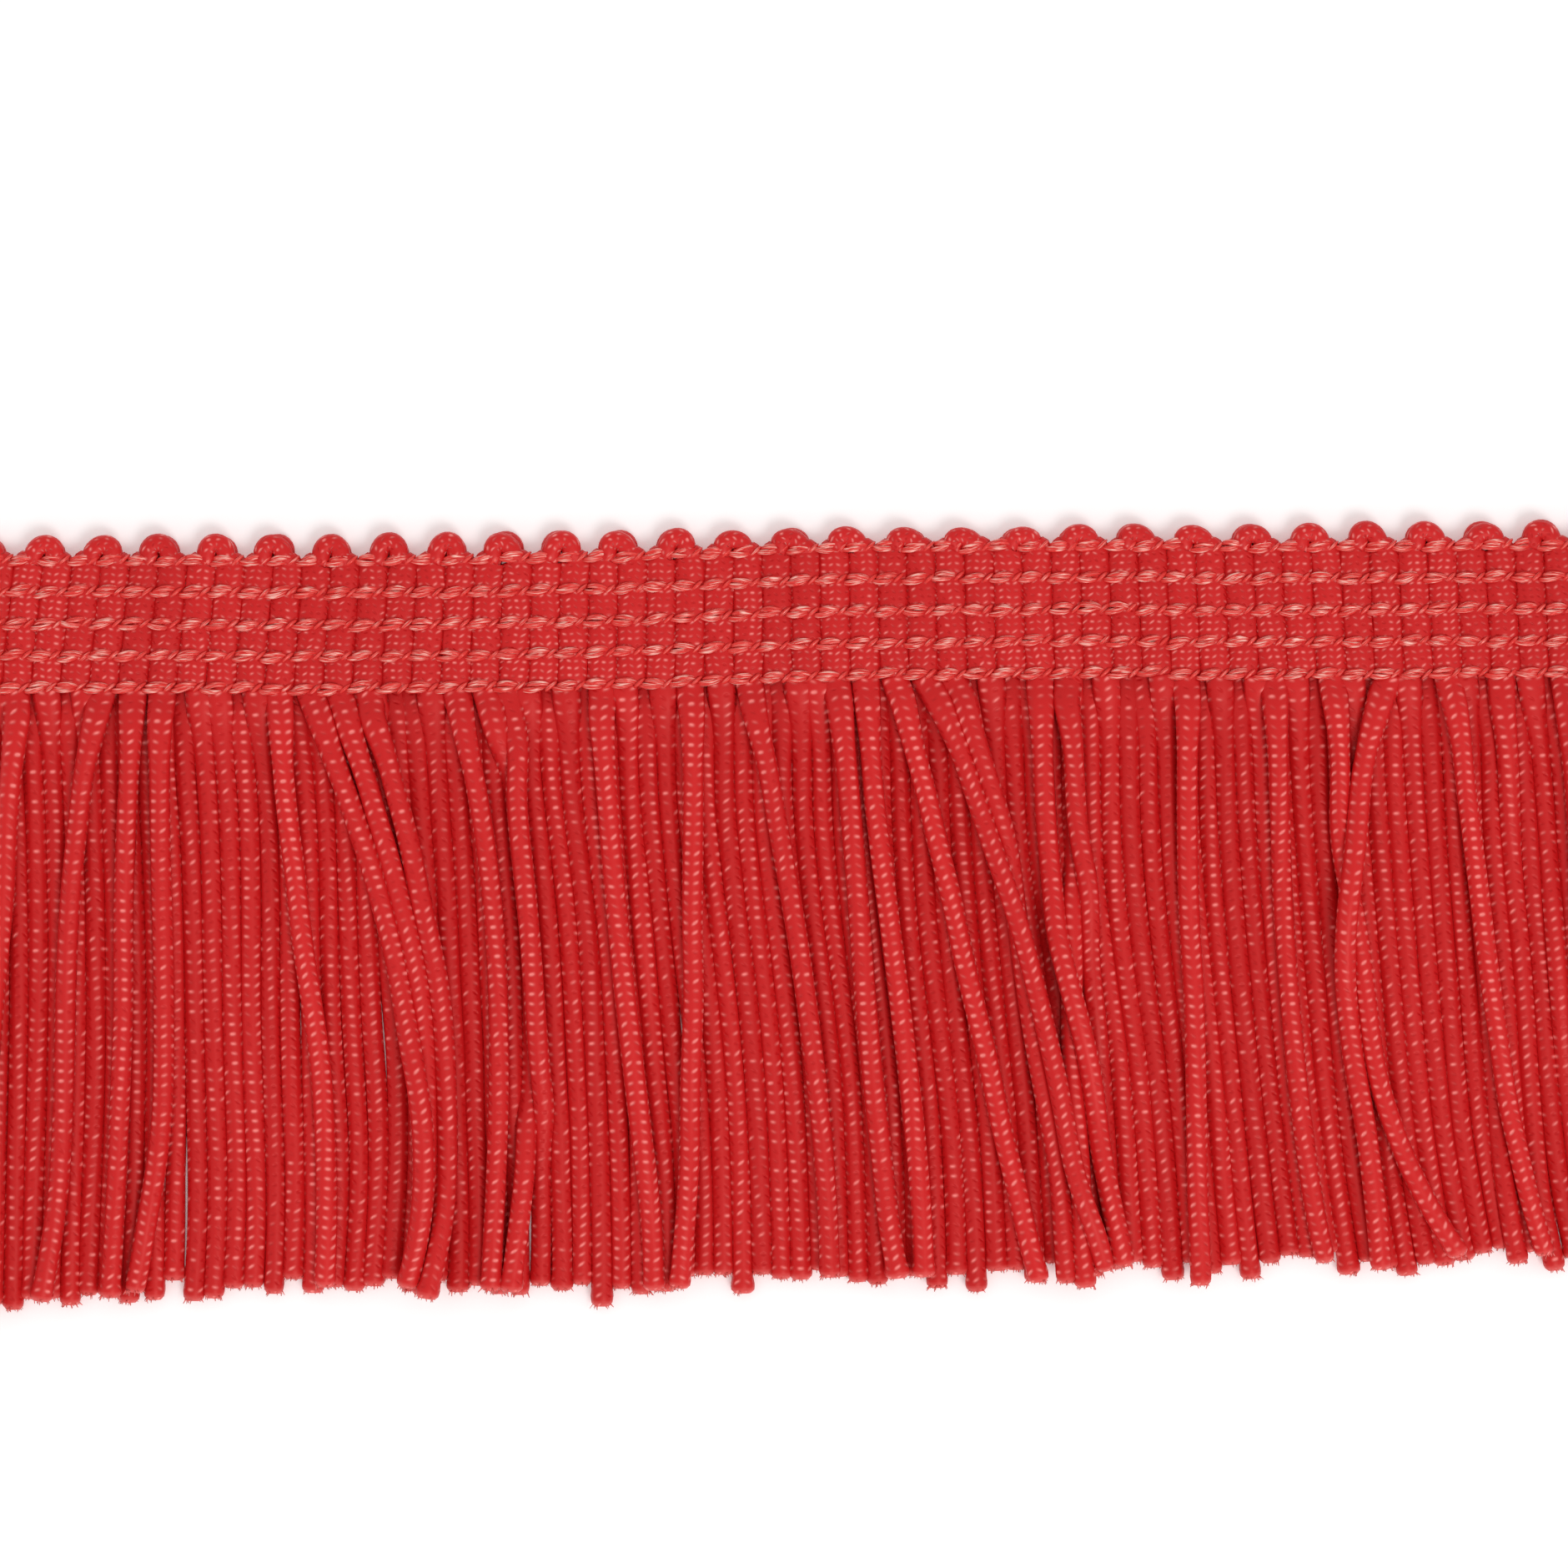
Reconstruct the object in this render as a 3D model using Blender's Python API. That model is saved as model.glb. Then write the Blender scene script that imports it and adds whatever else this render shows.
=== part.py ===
"""Chainette fringe trim: a cut length of red fringe, laid flat, face up.

Frame: metres, +Z up. X runs along the trim and +Y towards its looped edge. The
origin is on the back of the heading, under the middle chain row, halfway along.
The trim lies on z = 0.

A crochet machine lays two knitted cords side by side into every course. They run
up through five rows of chain stitch, turn over in a loop at the top edge, run
down again and hang out below the last row, where they are cut as the fringe.

heading: the crocheted band with its looped edge, the stitches raised in its face
fringe: the cut cords, two to a course, fused to a narrow strip below the heading
"""

import math

import bpy
import numpy as np

MM = 0.001

# Courses along the trim. Two courses share one loop of the top edge.
COURSES = 58
COURSE_PITCH = 1.956 * MM
COURSES_PER_LOOP = 2
LENGTH = COURSES * COURSE_PITCH

# Chain rows across the heading. Row 0 is the lowest, and the middle row is at y = 0.
CHAIN_ROWS = 5
ROW_PITCH = 2.15 * MM
LOWEST_ROW_Y = -(CHAIN_ROWS - 1) / 2 * ROW_PITCH
HIGHEST_ROW_Y = -LOWEST_ROW_Y
HEADING_BOTTOM_Y = LOWEST_ROW_Y - 0.45 * MM

# The looped edge: rounded loops that stand out of the valleys between them.
LOOP_VALLEY_Y = HIGHEST_ROW_Y + 0.50 * MM
LOOP_HEIGHT = 1.13 * MM
LOOP_HALF_WIDTH = 1.45 * MM
LOOP_UNEVEN = 0.16
LOOP_SEED = 5

# Heights above the surface that the trim lies on.
COURSE_TOP = 1.60 * MM
COURSE_GROOVE = 1.00 * MM
STITCH_TOP = 2.05 * MM
STITCH_WAIST = 1.75 * MM
EDGE_TOP = 1.20 * MM
LOOP_CREST = 1.50 * MM
LOOP_EDGE_TOP = 0.95 * MM
# Where a loop's crest lies, as a share of the loop's height in plan.
LOOP_CREST_PLACE = 0.55
# Where the face is sampled in each course, as shares of its pitch: groove, shoulder, shoulder.
COURSE_SAMPLES = (0.0, 0.28, 0.72)

# The courses slant a little: the shift in x for each unit of y, along the trim.
SLANT_TABLE = (
    # x, slant
    (-58.0 * MM, 0.11),
    (-46.0 * MM, 0.11),
    (-2.0 * MM, 0.00),
    (32.0 * MM, -0.04),
    (58.0 * MM, -0.04),
)

# The strip that the fringe cords are fused to, clear of the heading's lower edge.
PART_GAP = 0.30 * MM
STRIP_TOP_Y = HEADING_BOTTOM_Y - PART_GAP
STRIP_WIDTH = 0.70 * MM
ROOT_Y = STRIP_TOP_Y - STRIP_WIDTH

# The fringe cords, in a lower and an upper layer, squeezed where they leave the strip.
CORD_WIDTH = 1.15 * MM
CORD_ROOT_WIDTH = 0.90 * MM
CORD_STEPS = 7
NEAREST_CORDS = 1.40 * MM
TIP_Y = -45.0 * MM
TIP_SLOPE = 0.011
TIP_SPREAD = 0.45 * MM
LAYERS = (
    # name, place in the course as a share of its pitch, underside, top, seed
    ("lower", 0.25, 0.00 * MM, 0.90 * MM, 11),
    ("upper", 0.75, 1.20 * MM, 2.10 * MM, 23),
)

# How far a cord's tip swings along x from its root, for a root at x. Where the swing
# falls the cords bunch, and where it grows a gap opens between them.
SWING_TABLE = (
    # x, swing
    (-58.0 * MM, -1.2 * MM),
    (-50.0 * MM, -1.6 * MM),
    (-42.0 * MM, -1.8 * MM),
    (-36.0 * MM, 1.0 * MM),
    (-32.0 * MM, 4.0 * MM),
    (-27.0 * MM, 3.8 * MM),
    (-18.0 * MM, 2.6 * MM),
    (-12.0 * MM, 3.4 * MM),
    (-6.5 * MM, 0.6 * MM),
    (-3.0 * MM, -0.4 * MM),
    (1.0 * MM, 2.4 * MM),
    (6.0 * MM, 4.8 * MM),
    (11.0 * MM, 6.0 * MM),
    (17.0 * MM, 4.2 * MM),
    (23.0 * MM, 2.0 * MM),
    (28.0 * MM, 2.6 * MM),
    (35.0 * MM, 4.2 * MM),
    (42.0 * MM, 5.0 * MM),
    (48.0 * MM, 4.6 * MM),
    (58.0 * MM, 3.0 * MM),
)
# The share of the swing that runs straight down a cord. The rest comes in gently.
STRAIGHT_SHARE = 0.35
# Waves that neighbouring cords share.
WAVES = (
    # wavelength along x, turns down the drop, height, phase for each unit of the layer's seed
    (23.0 * MM, 0.55, 0.50 * MM, 0.37),
    (11.0 * MM, 0.80, 0.30 * MM, 0.74),
)
# What each cord does by itself: how far its tip strays, and how far it bows on the way.
OWN_STRAY = 0.25 * MM
OWN_BOW = 0.20 * MM
PUSH_ROUNDS = 160

# The finish: a satin yarn, a little brighter where it is stitched.
YARN_RED = (0.565, 0.022, 0.024, 1.0)
STITCH_RED = (0.610, 0.034, 0.030, 1.0)
YARN_ROUGHNESS = 0.45


def from_table(table, x):
    """The second column of a two-column table at x, read off straight lines between rows."""
    rows = np.array(table)
    return np.interp(x, rows[:, 0], rows[:, 1])


def slanted(x, y):
    """x of a point of the heading, moved along by the slant of the courses there."""
    return x + from_table(SLANT_TABLE, x) * y


def tip_y(x, own):
    """Where a cord is cut. The cut runs a little askew, and each cord has its own length."""
    return TIP_Y + TIP_SLOPE * x + TIP_SPREAD * own


def pushed_apart(x, nearest):
    """Cords in the same order, with neighbours moved apart until none are nearer than nearest."""
    for _ in range(PUSH_ROUNDS):
        push = np.minimum(np.diff(x, axis=0) - nearest, 0.0) / 2
        x[:-1] += push
        x[1:] -= push
    return x


def cord_lines(place, seed):
    """x and y of every cord of a layer at CORD_STEPS + 1 stations, from root to tip."""
    draw = np.random.default_rng(seed)
    own = draw.uniform(-1.0, 1.0, (COURSES, 4))
    t = np.linspace(0.0, 1.0, CORD_STEPS + 1)[None, :]
    along = (np.arange(COURSES) + place) * COURSE_PITCH - LENGTH / 2
    root = slanted(along, ROOT_Y)[:, None]
    gently = t * t * (3 - 2 * t)
    swung = STRAIGHT_SHARE * t + (1 - STRAIGHT_SHARE) * gently
    x = root + from_table(SWING_TABLE, root) * swung
    for wavelength, turns, height, layer_phase in WAVES:
        phase = root / wavelength + turns * t + layer_phase * seed
        x = x + height * np.sin(2 * math.pi * phase) * np.sin(0.5 * math.pi * t)
    bow = np.sin(math.pi * (1 + own[:, :1] / 2) * t + math.pi * own[:, 1:2])
    x = x + t * (OWN_STRAY * own[:, 2:3] + OWN_BOW * bow)
    x[:, 1:] = pushed_apart(x[:, 1:].copy(), NEAREST_CORDS)
    y = ROOT_Y + (tip_y(root, own[:, 3:4]) - ROOT_Y) * t
    return x, y


def make_object(name, vertices, faces, colour):
    """A mesh object from points and faces, with its own material."""
    mesh = bpy.data.meshes.new(name)
    mesh.from_pydata(vertices, [], faces)
    material = bpy.data.materials.new(name)
    material.use_nodes = True
    shader = material.node_tree.nodes["Principled BSDF"]
    shader.inputs["Base Color"].default_value = colour
    shader.inputs["Roughness"].default_value = YARN_ROUGHNESS
    shader.inputs["Metallic"].default_value = 0.0
    mesh.materials.append(material)
    made = bpy.data.objects.new(name, mesh)
    bpy.context.scene.collection.objects.link(made)
    return made


def loop_outline(course):
    """How far the looped edge stands out of its valleys: half an ellipse over each pair of courses."""
    loops = COURSES // COURSES_PER_LOOP
    uneven = np.random.default_rng(LOOP_SEED).uniform(-LOOP_UNEVEN, LOOP_UNEVEN, loops)
    loop = min(int(course // COURSES_PER_LOOP), loops - 1)
    from_middle = (course - (loop + 0.5) * COURSES_PER_LOOP) * COURSE_PITCH
    inside = max(1 - (from_middle / LOOP_HALF_WIDTH) ** 2, 0.0)
    return LOOP_HEIGHT * (1 + float(uneven[loop])) * math.sqrt(inside)


def heading_profile(course, in_groove):
    """The (y, z) points round the heading: up its lower edge, over the chain rows, down at the loops."""
    valley_z = COURSE_GROOVE if in_groove else COURSE_TOP
    ridge_z = STITCH_WAIST if in_groove else STITCH_TOP
    points = [(HEADING_BOTTOM_Y, 0.0), (HEADING_BOTTOM_Y, EDGE_TOP)]
    for row in range(CHAIN_ROWS):
        y = LOWEST_ROW_Y + row * ROW_PITCH
        points.append((y, ridge_z))
        if row < CHAIN_ROWS - 1:
            points.append((y + ROW_PITCH / 2, valley_z))
    reach = loop_outline(course)
    crest = EDGE_TOP + (LOOP_CREST - EDGE_TOP) * reach / LOOP_HEIGHT
    points.append((LOOP_VALLEY_Y + LOOP_CREST_PLACE * reach, crest))
    points.append((LOOP_VALLEY_Y + reach, LOOP_EDGE_TOP))
    points.append((LOOP_VALLEY_Y + reach, 0.0))
    return points


def make_heading():
    """The crocheted band, as one grid of profiles closed by its flat back and its two cut ends."""
    stations = [
        (course + share, share == 0.0)
        for course in range(COURSES)
        for share in COURSE_SAMPLES
    ]
    stations.append((COURSES, True))
    vertices = []
    for course, in_groove in stations:
        x = course * COURSE_PITCH - LENGTH / 2
        for y, z in heading_profile(course, in_groove):
            vertices.append((float(slanted(x, y)), y, z))
    around = len(vertices) // len(stations)
    faces = []
    for station in range(len(stations) - 1):
        first = station * around
        for k in range(around):
            following = (k + 1) % around
            faces.append(
                (first + k, first + around + k, first + around + following, first + following)
            )
    faces.append(tuple(range(around)))
    last = (len(stations) - 1) * around
    faces.append(tuple(range(last + around - 1, last - 1, -1)))
    return make_object("heading", vertices, faces, STITCH_RED)


def make_fringe():
    """The cut cords of both layers on their strip, built as one closed surface.

    The strip's lower face is a grid with a line at each side of every cord, and each
    cord grows out of its own cell of that grid.
    """
    levels = [z for _, _, under, top, _ in LAYERS for z in (under, top)]
    lines = {place: cord_lines(place, seed) for _, place, _, _, seed in LAYERS}
    columns = [slanted(-LENGTH / 2, ROOT_Y)]
    for course in range(COURSES):
        for place, (x, _) in lines.items():
            columns += [x[course, 0] - CORD_ROOT_WIDTH / 2, x[course, 0] + CORD_ROOT_WIDTH / 2]
    columns.append(slanted(LENGTH / 2, ROOT_Y))
    vertices = [(float(x), ROOT_Y, z) for x in columns for z in levels]
    faces = []

    def grid(column, level):
        return column * len(levels) + level

    def add_cord(corners, xs, ys, under, top):
        """Rings of four from the root cell to the cut tip, which is capped."""
        ring = list(corners)
        for x, y in zip(xs[1:], ys[1:]):
            start = len(vertices)
            left, right = float(x) - CORD_WIDTH / 2, float(x) + CORD_WIDTH / 2
            vertices.extend([(left, float(y), under), (right, float(y), under)])
            vertices.extend([(right, float(y), top), (left, float(y), top)])
            for k in range(4):
                following = (k + 1) % 4
                faces.append((ring[k], ring[following], start + following, start + k))
            ring = [start + k for k in range(4)]
        faces.append(tuple(ring))

    # A layer's cords take every second cell along the strip, at that layer's level.
    cord_cells = {}
    for course in range(COURSES):
        for number, (_, place, under, top, _) in enumerate(LAYERS):
            column = 1 + 2 * (len(LAYERS) * course + number)
            cord_cells[column, 2 * number] = (course, place, under, top)
    for column in range(len(columns) - 1):
        for level in range(len(levels) - 1):
            corners = (
                grid(column, level),
                grid(column + 1, level),
                grid(column + 1, level + 1),
                grid(column, level + 1),
            )
            if (column, level) in cord_cells:
                course, place, under, top = cord_cells[column, level]
                xs, ys = lines[place]
                add_cord(corners, xs[course], ys[course], under, top)
            else:
                faces.append(corners)

    low, high = levels[0], levels[-1]
    back = len(vertices)
    for x in (-LENGTH / 2, LENGTH / 2):
        for z in (low, high):
            vertices.append((float(slanted(x, STRIP_TOP_Y)), STRIP_TOP_Y, z))
    last, top_level = len(columns) - 1, len(levels) - 1
    floor_side = [grid(c, 0) for c in range(len(columns))]
    top_side = [grid(c, top_level) for c in range(len(columns))]
    faces.append(tuple(reversed(floor_side)) + (back, back + 2))
    faces.append(tuple(top_side) + (back + 3, back + 1))
    faces.append((back + 2, back, back + 1, back + 3))
    faces.append(tuple(grid(0, k) for k in range(len(levels))) + (back + 1, back))
    right_end = tuple(grid(last, k) for k in reversed(range(len(levels))))
    faces.append(right_end + (back + 2, back + 3))
    return make_object("fringe", vertices, faces, YARN_RED)


def clear_scene():
    for old in list(bpy.data.objects):
        bpy.data.objects.remove(old, do_unlink=True)


clear_scene()
make_heading()
make_fringe()
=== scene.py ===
# %% [markdown]
# # A cut length of chainette fringe trim
# The real trim is one long crochet: soft knitted cords are laid to and fro across the
# band, five rows of chain stitch tie them down, and the turns at the bottom are cut to
# leave the fringe. A quick way to make it would be a flat band with a picture of cords.
# Here every cord and every stitch is a surface of its own, because light from the side
# shows their roundness, and the trim has to look right from its edge and its back too.
#
# First the frame is loaded. It holds the real size and the place of each part.

# %% Load the frame
import math

import bpy
import numpy as np
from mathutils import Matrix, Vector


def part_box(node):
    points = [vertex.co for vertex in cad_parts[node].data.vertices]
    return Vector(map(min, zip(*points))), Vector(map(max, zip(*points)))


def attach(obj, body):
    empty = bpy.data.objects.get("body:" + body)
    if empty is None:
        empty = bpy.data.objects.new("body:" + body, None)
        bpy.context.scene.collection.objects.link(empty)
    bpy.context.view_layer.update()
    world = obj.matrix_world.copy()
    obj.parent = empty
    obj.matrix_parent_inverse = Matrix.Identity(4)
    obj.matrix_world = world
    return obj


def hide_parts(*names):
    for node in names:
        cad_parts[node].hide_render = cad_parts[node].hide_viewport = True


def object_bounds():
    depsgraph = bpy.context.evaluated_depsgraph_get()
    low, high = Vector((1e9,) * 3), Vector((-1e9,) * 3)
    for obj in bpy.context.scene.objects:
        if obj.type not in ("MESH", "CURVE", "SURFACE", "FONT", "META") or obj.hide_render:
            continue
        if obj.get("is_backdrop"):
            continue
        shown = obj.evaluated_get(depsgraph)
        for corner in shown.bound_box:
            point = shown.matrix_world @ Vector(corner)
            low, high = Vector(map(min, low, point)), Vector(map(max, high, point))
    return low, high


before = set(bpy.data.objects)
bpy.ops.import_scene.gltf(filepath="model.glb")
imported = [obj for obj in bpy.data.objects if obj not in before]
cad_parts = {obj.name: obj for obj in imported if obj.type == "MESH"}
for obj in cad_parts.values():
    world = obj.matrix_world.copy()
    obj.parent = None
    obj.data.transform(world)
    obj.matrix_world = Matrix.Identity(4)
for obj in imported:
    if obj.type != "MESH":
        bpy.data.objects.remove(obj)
cad_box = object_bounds()
MM = 0.001
print("nodes:", ", ".join(sorted(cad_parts)))

# %% [markdown]
# ## Driving sizes
# A course is one pass of the laid cord up or down the band. Two courses share a loop of
# the top edge. Everything below is worked out from the courses and the chain rows, so
# the looks stay on the frame's own rhythm. Two small tables bend that rhythm as the real
# trim bends on the table: the courses lean a little, and the chain rows sway up and down.

# %% Courses, rows and heights
COURSES = 58
COURSE_PITCH = 1.956 * MM
LENGTH = COURSES * COURSE_PITCH
LOOPS = COURSES // 2
CHAIN_ROWS = 5
ROW_PITCH = 2.15 * MM
ROW_Y = (np.arange(CHAIN_ROWS) - (CHAIN_ROWS - 1) / 2) * ROW_PITCH
LIMB_BOTTOM_Y = ROW_Y[0] - 0.15 * MM
FRINGE_TOP_Y = ROW_Y[0] - 0.05 * MM
TURN_RADIUS = 0.66 * MM
HANGING_RADIUS = 0.67 * MM

SLANT_TABLE = np.array([
    # x in mm, shift in x for each unit of y
    [-58.0, 0.11],
    [-46.0, 0.11],
    [-2.0, 0.00],
    [32.0, -0.04],
    [58.0, -0.04],
])


def slanted(x, y):
    """x plus y times the slant of the courses there, read off straight lines between the table's rows."""
    return x + y * np.interp(x, SLANT_TABLE[:, 0] * MM, SLANT_TABLE[:, 1])


RISE_TABLE = np.array([
    # x in mm, how far the chain rows are drawn up towards the looped edge there, in mm
    [-50.0, 0.00],
    [-32.0, -0.33],
    [-15.0, -0.28],
    [2.5, 0.22],
    [20.0, 0.20],
    [33.0, -0.05],
    [48.0, -0.10],
])


def drawn_up(x):
    """How far the chain rows lie towards the looped edge at x, read off the table in the same way."""
    return np.interp(x, RISE_TABLE[:, 0] * MM, RISE_TABLE[:, 1]) * MM


low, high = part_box("heading")
print("heading box, mm:", [round((b - a) / MM, 2) for a, b in zip(low, high)])
print("length by courses, mm:", round(LENGTH / MM, 2))

# %% [markdown]
# ## Camera
# The photo looks straight down on the trim, a little turned, so that the trim's right
# end lies higher. A long lens from above gives that. The trim runs past both sides.

# %% Look straight down
VIEW_WIDTH = 105.53 * MM
VIEW_CENTRE = (-0.635 * MM, -11.37 * MM)
VIEW_TURN = math.radians(0.62)
FACE_Z = 1.7 * MM
LENS = 100.0

camera_data = bpy.data.cameras.new("camera")
camera_data.lens = LENS
camera_data.clip_start = 0.01
camera_data.clip_end = 10.0
camera = bpy.data.objects.new("camera", camera_data)
bpy.context.scene.collection.objects.link(camera)
distance = VIEW_WIDTH * LENS / camera_data.sensor_width
camera.location = (*VIEW_CENTRE, FACE_Z + distance)
camera.rotation_euler = (0.0, 0.0, -VIEW_TURN)
bpy.context.scene.camera = camera
print("camera height, mm:", round((FACE_Z + distance) / MM, 1))

# %% [markdown]
# ## Floor and light
# A white sheet, and a large soft lamp above it to the front right. The bright room around
# it fills the gaps between the cords, which stay deep red and never black. A stronger lamp
# would whiten the sheet too, but it would wash out the red, so the sheet glows a little.

# %% Studio
bpy.context.scene.view_settings.view_transform = "Standard"
FLOOR_SIZE = 3.0
KEY_PLACE = (0.26, -0.44, 0.80)
KEY_SIZE = 0.34
KEY_POWER = 2.55
ROOM_STRENGTH = 0.74
FLOOR_GLOW = 0.16
FLOOR_GAP = 0.02 * MM
FLOOR_WHITE = (0.97, 0.97, 0.97, 1.0)
FLOOR_ROUGHNESS = 0.9
ROOM_WHITE = (1.0, 0.99, 0.98, 1.0)

floor_mesh = bpy.data.meshes.new("floor")
half = FLOOR_SIZE / 2
corners = [(-half, -half, 0), (half, -half, 0), (half, half, 0), (-half, half, 0)]
floor_mesh.from_pydata(corners, [], [(0, 1, 2, 3)])
floor = bpy.data.objects.new("floor", floor_mesh)
floor.location = (0.0, 0.0, low[2] - FLOOR_GAP)
bpy.context.scene.collection.objects.link(floor)
floor_paint = bpy.data.materials.new("floor_paper")
floor_paint.use_nodes = True
floor_shader = floor_paint.node_tree.nodes["Principled BSDF"]
floor_shader.inputs["Base Color"].default_value = FLOOR_WHITE
floor_shader.inputs["Roughness"].default_value = FLOOR_ROUGHNESS
floor_shader.inputs["Emission Color"].default_value = (1.0, 1.0, 1.0, 1.0)
floor_shader.inputs["Emission Strength"].default_value = FLOOR_GLOW
floor_mesh.materials.append(floor_paint)
floor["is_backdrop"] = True

world = bpy.data.worlds.new("room")
world.use_nodes = True
room_light = world.node_tree.nodes["Background"]
room_light.inputs["Color"].default_value = ROOM_WHITE
room_light.inputs["Strength"].default_value = ROOM_STRENGTH
bpy.context.scene.world = world

key_data = bpy.data.lights.new("key", "AREA")
key_data.size = KEY_SIZE
key_data.energy = KEY_POWER
key = bpy.data.objects.new("key", key_data)
bpy.context.scene.collection.objects.link(key)
key.location = KEY_PLACE
away = -np.array(KEY_PLACE)
key.rotation_euler = (
    math.atan2(math.hypot(away[0], away[1]), -away[2]),
    0.0,
    math.atan2(away[1], away[0]) - math.pi / 2,
)
print("lamp at", KEY_PLACE)

# %% [markdown]
# ## Many tubes, one mesh
# Cords, stitches and loose filaments are all tubes round a line. A tube could be a curve
# object with a bevel, but a curve gives no say over single points of its surface, and
# the knitting has to stand out of these. So each family of tubes is one grid of points:
# tube, ring along the line, side round it.

# %% Tubes from grids of points
EVEN_SPREAD = 0.25


def directions(line):
    """Unit tangents of lines (..., ring, 3), with across and up square to them.

    Up is +Z less its share along the tangent, and across is tangent x up.
    """
    tangent = np.gradient(line, axis=-2)
    tangent /= np.linalg.norm(tangent, axis=-1, keepdims=True)
    up = np.array([0.0, 0.0, 1.0]) - tangent * tangent[..., 2:3]
    up /= np.linalg.norm(up, axis=-1, keepdims=True)
    return tangent, np.cross(tangent, up), up


def tube_points(line, half_width, half_height, turn, sides, relief=1.0):
    """Grid of points: line + across * half_width * cos(a) + up * half_height * sin(a), times the relief.

    a goes once round from turn in equal steps, shifted by a share of sin(2 a) where the
    tube is flat, so that the points keep even distances. half_width, half_height and
    turn are (tube, ring) arrays, and relief is 1 or a (tube, ring, side) array.
    """
    _, across, up = directions(line)
    angle = turn[..., None] + np.arange(sides) * (2 * math.pi / sides)
    angle = angle + EVEN_SPREAD * (1 - half_height / half_width)[..., None] * np.sin(2 * angle)
    reach_across = (half_width[..., None] * np.cos(angle) * relief)[..., None]
    reach_up = (half_height[..., None] * np.sin(angle) * relief)[..., None]
    return line[..., None, :] + across[..., None, :] * reach_across + up[..., None, :] * reach_up


# %% One mesh for many tubes


def tube_mesh(name, points, u_span, v_rings, values):
    """One mesh from a (tube, ring, side, 3) grid, each tube closed by a fan at either end.

    Side faces join ring i to i + 1 and side j to j + 1. The UV map runs from 0 to u_span
    round a tube and by v_rings, a (tube, ring) array, along it. values holds (tube, ring)
    arrays that become point attributes.
    """
    tubes, rings, sides, _ = points.shape
    ends = np.stack([points[:, 0].mean(axis=1), points[:, -1].mean(axis=1)], axis=1)
    vertices = np.concatenate([points.reshape(-1, 3), ends.reshape(-1, 3)])
    index = np.arange(tubes * rings * sides).reshape(tubes, rings, sides)
    beside = np.roll(index, -1, axis=2)
    quads = np.stack([index[:, :-1], beside[:, :-1], beside[:, 1:], index[:, 1:]], axis=-1).reshape(-1, 4)
    first = np.broadcast_to(tubes * rings * sides + 2 * np.arange(tubes)[:, None], (tubes, sides))
    start_fan = np.stack([first, beside[:, 0], index[:, 0]], axis=-1)
    end_fan = np.stack([first + 1, index[:, -1], beside[:, -1]], axis=-1)
    fans = np.concatenate([start_fan.reshape(-1, 3), end_fan.reshape(-1, 3)])

    mesh = bpy.data.meshes.new(name)
    mesh.vertices.add(len(vertices))
    mesh.vertices.foreach_set("co", vertices.astype(np.float32).ravel())
    corners_of_faces = np.concatenate([quads.ravel(), fans.ravel()])
    mesh.loops.add(len(corners_of_faces))
    mesh.loops.foreach_set("vertex_index", corners_of_faces.astype(np.int32))
    mesh.polygons.add(len(quads) + len(fans))
    starts = np.concatenate([4 * np.arange(len(quads)), quads.size + 3 * np.arange(len(fans))])
    mesh.polygons.foreach_set("loop_start", starts.astype(np.int32))
    mesh.update(calc_edges=True)
    mesh.shade_smooth()

    u = np.arange(sides + 1) * (u_span / sides)
    shape = (tubes, rings - 1, sides)
    u_quad = np.broadcast_to(np.stack([u[:-1], u[1:], u[1:], u[:-1]], axis=-1), (*shape, 4))
    v_here, v_next = v_rings[:, :-1, None], v_rings[:, 1:, None]
    v_quad = np.stack(np.broadcast_arrays(v_here, v_here, v_next, v_next), axis=-1)
    v_quad = np.broadcast_to(v_quad, (*shape, 4))
    uv_quads = np.stack([u_quad, v_quad], axis=-1).reshape(-1, 2)
    u_fan = np.broadcast_to(np.stack([u[:-1], u[1:], u[:-1]], axis=-1), (tubes, sides, 3))
    fan_uvs = [
        np.stack([u_fan, np.broadcast_to(v_rings[:, end, None, None], u_fan.shape)], axis=-1)
        for end in (0, -1)
    ]
    uv_map = mesh.uv_layers.new(name="yarn")
    uv_all = np.concatenate([uv_quads] + [part.reshape(-1, 2) for part in fan_uvs])
    uv_map.data.foreach_set("uv", uv_all.astype(np.float32).ravel())
    for label, rows in values.items():
        ringwise = np.broadcast_to(rows[..., None], (tubes, rings, sides)).ravel()
        at_ends = np.stack([rows[:, 0], rows[:, -1]], axis=1).ravel()
        attribute = mesh.attributes.new(label, "FLOAT", "POINT")
        attribute.data.foreach_set("value", np.concatenate([ringwise, at_ends]).astype(np.float32))
    return mesh


# %% A piece of the trim, and an eased step


def add_piece(name, mesh, material, slot, *nodes):
    """An object with its mesh and material, riding on the one body and standing for the given nodes."""
    mesh.materials.append(material)
    piece = bpy.data.objects.new(name, mesh)
    bpy.context.scene.collection.objects.link(piece)
    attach(piece, "root")
    if nodes:
        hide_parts(*nodes)
    triangles = sum(len(p.vertices) - 2 for p in mesh.polygons)
    print(f"{name}: {triangles} triangles")
    return piece


def smooth_step(t):
    """0 below 0, 1 above 1, and 3 t squared minus 2 t cubed between."""
    t = np.clip(t, 0.0, 1.0)
    return t * t * (3 - 2 * t)


# %% [markdown]
# ## Yarn
# The cord is a tiny knitted tube of bright filament yarn. Each stitch is a V whose two
# legs lie in neighbouring columns, and where a leg bends over, its filaments catch the
# light as one short dash. Whole stitches as geometry would need millions of faces, so the
# mesh carries their swelling, and the material draws each dash as a bump and as a painted
# glint: pale colour that stands in for the highlight. Their slant and their brightness
# change by chance from one leg to the next, as on real yarn. The pattern reads the cord's
# own UV map, where one unit round is a V and one unit along is a stitch, so it bends and
# turns with the cord.

# %% Helpers for the materials of yarn


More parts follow.
